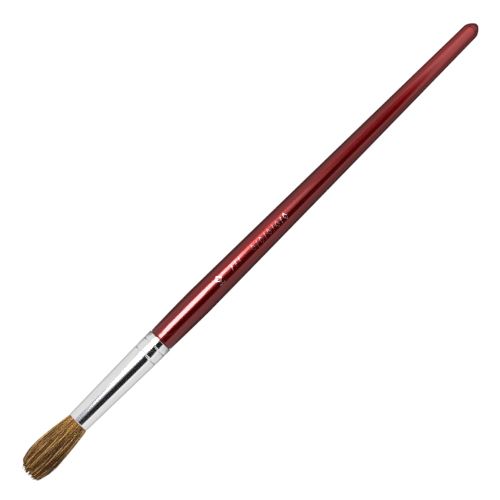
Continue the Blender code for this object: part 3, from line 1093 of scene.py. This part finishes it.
def card(name, x_range, y_range, strength, colour, edge, lift=0.0, cut=None, fade=None,
         steps=(), pinches=(), seen_beyond=None):
    """A level panel over the brush.

    edge: widths of its soft edges at low x, high x, low y and high y.
    lift: height over the other panels.
    cut: (x, slope) of a slanting cut that brings the high-y edge in below that x.
    fade: brightness along x, as (x, share).
    steps, pinches: (x, width, shift) by which the low-y edge moves up and the high-y edge down.
    seen_beyond: only surfaces beyond this x see the panel.
    """
    (x0, x1), (y0, y1) = x_range, y_range
    z = AXIS_Z + PANEL_RISE + lift
    shader = Shader(name)
    x, y = shader.split(shader.position())[:2]

    def shift(start, width, amount):
        return shader.math("MULTIPLY", shader.fade(x, start, start + width), amount)

    def times(mask, other):
        return shader.math("MULTIPLY", mask, other)

    mask = times(shader.fade(x, x0, x0 + edge[0]), shader.fade(x, x1 - edge[1], x1, 1.0, 0.0))
    low = y
    for step in steps:
        low = shader.math("SUBTRACT", low, shift(*step))
    mask = times(mask, shader.fade(low, y0, y0 + edge[2]))
    for pinch in pinches:
        y = shader.math("ADD", y, shift(*pinch))
    if cut:
        below = shader.math("MAXIMUM", shader.math("SUBTRACT", cut[0], x), 0.0)
        y = shader.math("ADD", y, shader.math("MULTIPLY", below, cut[1]))
    mask = times(mask, shader.fade(y, y1 - edge[3], y1, 1.0, 0.0))
    if seen_beyond is not None:
        # the x of the surface that the ray left
        incoming = shader.node("NewGeometry")["Incoming"]
        length = shader.node("LightPath")["Ray Length"]
        back = shader.math("MULTIPLY", shader.split(incoming)[0], length)
        origin = shader.math("ADD", x, back)
        mask = times(mask, shader.math("GREATER_THAN", origin, seen_beyond))
    profile = None
    if fade:
        start, length = fade[0][0], fade[-1][0] - fade[0][0]
        stops = [((place - start) / length, share) for place, share in fade]
        profile = shader.ramp(shader.share(x, start, length), stops)
    corners = [(x0, y0, z), (x0, y1, z), (x1, y1, z), (x1, y0, z)]
    mirror_panel(name, corners, shader, mask, strength, colour, profile)


def side_wall(name, y, most, x_range, strength):
    """An upright panel along the brush; it thickens over x_range and thins upwards."""
    shader = Shader(name)
    x, _, z = shader.split(shader.position())
    up = shader.math("DIVIDE", shader.math("SUBTRACT", 0.33, z), 0.28, clamp=True)
    along = shader.ramp(shader.share(x, x_range[0], x_range[1] - x_range[0]),
                        [(0.0, 0.0), (0.35, 0.5), (1.0, 1.0)])
    mask = shader.math("MULTIPLY", shader.math("MULTIPLY", up, along), most)
    corners = [(-0.2, y, -0.015), (0.9, y, -0.015), (0.9, y, 0.36), (-0.2, y, 0.36)]
    mirror_panel(name, corners, shader, mask, strength)


def far_wall(name, x, strength, foot, gap):
    """An upright panel far beyond one end of the brush.

    It fades in upwards between the heights of foot and sideways between the distances of gap.
    """
    shader = Shader(name)
    _, y, z = shader.split(shader.position())
    up = shader.fade(z, *foot)
    down = shader.fade(z, 0.50, 0.96, low=1.0, high=0.0)
    aside = shader.fade(shader.math("ABSOLUTE", y), *gap)
    mask = shader.math("MULTIPLY", shader.math("MULTIPLY", up, down), aside)
    half, top = 1.9, 1.0
    corners = [(x, -half, FLOOR_Z), (x, half, FLOOR_Z), (x, half, top), (x, -half, top)]
    mirror_panel(name, corners, shader, mask, strength)


def floor_material():
    """A light table; reflections see it darker near the brush, a painted shadow which draws the
    outlines of the brush.
    """
    glow = 0.97
    less_diffuse = 0.45                              # taken off for diffuse rays
    reach = 0.30                                     # sideways distance the ramps cover
    shader = Shader("pale_floor")
    speck = shader.noise(shader.position(), scale=40.0, detail=3.0, roughness=0.5)
    path = shader.node("LightPath")
    x, y = shader.split(shader.position())[:2]
    # painted shadow: the floor as reflections see it is darker near the brush
    aside = shader.math("DIVIDE", shader.math("ABSOLUTE", y), reach, clamp=True)
    in_ferrule, in_handle = (
        shader.ramp(aside, [(distance / reach, level) for distance, level in table])
        for table in (FLOOR_IN_FERRULE, FLOOR_IN_HANDLE))
    ferrule_end = world_x(FERRULE_END)
    along = shader.fade(x, ferrule_end - 0.012, ferrule_end + 0.006)
    seen = shader.mix("MIX", in_ferrule, in_handle, factor=along)
    less = shader.math("SUBTRACT", glow, seen)
    less = shader.math("MULTIPLY", path["Is Glossy Ray"], less)
    strength = shader.math("SUBTRACT", glow, less)
    less = shader.math("MULTIPLY", path["Is Diffuse Ray"], less_diffuse)
    shader.surface({
        "Base Color": shader.ramp(speck, [(0.3, 0.060), (0.7, 0.066)]),
        "Roughness": 0.9,
        "Specular IOR Level": 0.0,
        "Emission Color": (1, 1, 1),
        "Emission Strength": shader.math("SUBTRACT", strength, less),
    })
    shader.material.cycles.emission_sampling = "NONE"
    return shader


def make_world():
    world = bpy.data.worlds.new("studio")
    bpy.context.scene.world = world
    world.use_nodes = True
    background = world.node_tree.nodes["Background"]
    background.inputs["Color"].default_value = (1.0, 1.0, 1.0, 1)
    background.inputs["Strength"].default_value = 1.0


def make_floor():
    corners = [(-3, -3, 0), (3, -3, 0), (3, 3, 0), (-3, 3, 0)]
    floor = quad_object("floor", corners, floor_material())
    floor.location = (0, 0, FLOOR_Z)


def make_panels():
    def tilt(degrees):
        """y on the panels' level, seen from the axis this far from upright."""
        return math.copysign(math.tan(math.radians(abs(degrees))) * PANEL_RISE, degrees)

    # over the handle
    card("soft_box", (-0.096, 0.095), (tilt(10), tilt(43.5)), strength=21.5,
         colour=(1.0, 0.99, 0.985), edge=(0.003, 0.004, 0.014, 0.026), fade=SOFT_BOX_FADE,
         steps=((-0.030, 0.022, 0.056), (0.018, 0.015, -0.014)),
         pinches=((-0.028, 0.022, 0.026), (0.016, 0.020, -0.014)))
    card("dark_flag", (-0.096, 0.160), (tilt(-41.0), tilt(3.2)), lift=0.004, strength=0.016,
         colour=(0.85, 0.9, 1.2), edge=(0.003, 0.03, 0.018, 0.014))
    card("grey_flag", (0.062, 0.160), (tilt(0.5), tilt(44)), lift=0.008, strength=0.22,
         colour=(0.95, 0.9, 1.15), edge=(0.03, 0.03, 0.004, 0.05))
    card("end_panel", (0.138, 0.900), (tilt(-62), tilt(62)), lift=0.010, strength=2.25,
         colour=(1.0, 0.97, 0.96), edge=(0.03, 0.60, 1.00, 0.55))
    # over the ferrule; the first one's corner is cut, so its reflection runs out to a point
    card("ferrule_box", (-0.149, -0.0855), (tilt(9), 0.515), lift=0.002, strength=1.75,
         colour=(1.0, 0.998, 0.995), edge=(0.021, 0.004, 0.03, 0.07), cut=(-0.115, 12.7))
    card("ferrule_flag", (-0.190, -0.0855), (tilt(-48.3), 0.085), lift=0.004, strength=0.020,
         colour=(0.9, 0.92, 1.15), edge=(0.012, 0.003, 0.014, 0.135),
         steps=((-0.135, 0.045, 0.040),))
    card("violet_panel", (-0.220, -0.118), (tilt(2), tilt(43)), lift=0.006, strength=0.53,
         colour=(0.95, 0.95, 1.13), edge=(0.02, 0.012, 0.02, 0.03))
    card("pale_side", (-0.230, -0.0855), (tilt(-72), tilt(-45)), lift=0.008, strength=1.17,
         colour=(0.99, 1.0, 1.01), edge=(0.02, 0.004, 0.75, 0.01))
    # far out to +y; it keeps that side of the lacquer a clear red
    card("warm_panel", (-0.078, 0.060), (tilt(46), tilt(80)), lift=0.012, strength=1.60,
         colour=(1.0, 0.49, 0.52), edge=(0.024, 0.06, 0.16, 1.10),
         seen_beyond=world_x(FERRULE_END + 0.25))
    side_wall("wall_right", y=-0.43, most=1.0, x_range=(-0.12, 0.22), strength=0.30)
    side_wall("wall_left", y=0.43, most=0.40, x_range=(-0.05, 0.25), strength=0.30)
    far_wall("far_wall_front", x=-1.30, strength=0.055, foot=(-0.05, 0.04), gap=(-0.2, -0.1))
    far_wall("far_wall_back", x=1.30, strength=0.10, foot=(0.06, 0.30), gap=(0.70, 1.05))


def make_key_light():
    light = bpy.data.lights.new("key", "AREA")
    light.shape = "RECTANGLE"
    light.size, light.size_y = 0.30, 0.20
    light.energy = 3.0
    light.color = (1, 1, 1)
    obj = link_object("key", light)
    obj.location = (-0.10, 0.32, 0.45)
    to_origin = -Vector((-0.10, 0.32, 0.45))
    obj.rotation_euler = to_origin.to_track_quat("-Z", "Y").to_euler()
    obj.visible_glossy = False
    obj.visible_camera = False


def make_camera():
    """Looks straight down, turned so that the brush runs slantwise up to the right."""
    camera = bpy.data.cameras.new("camera")
    obj = link_object("camera", camera)
    camera.sensor_width = 36.0
    camera.lens = camera.sensor_width / 2 / (VIEW_WIDTH / 2 / CAMERA_RISE)
    camera.clip_start, camera.clip_end = 0.01, 20
    obj.location = (world_x(VIEW_STATION), 0.00026, AXIS_Z + CAMERA_RISE)
    obj.rotation_euler = (0, 0, -math.radians(44.92))
    scene = bpy.context.scene
    scene.camera = obj
    scene.view_settings.view_transform = "Standard"
    scene.view_settings.look = "None"


make_handle()
make_stamp()
make_ferrule()
make_root()
make_hair()
dress_hidden_nodes()
make_world()
make_floor()
make_panels()
make_key_light()
make_camera()
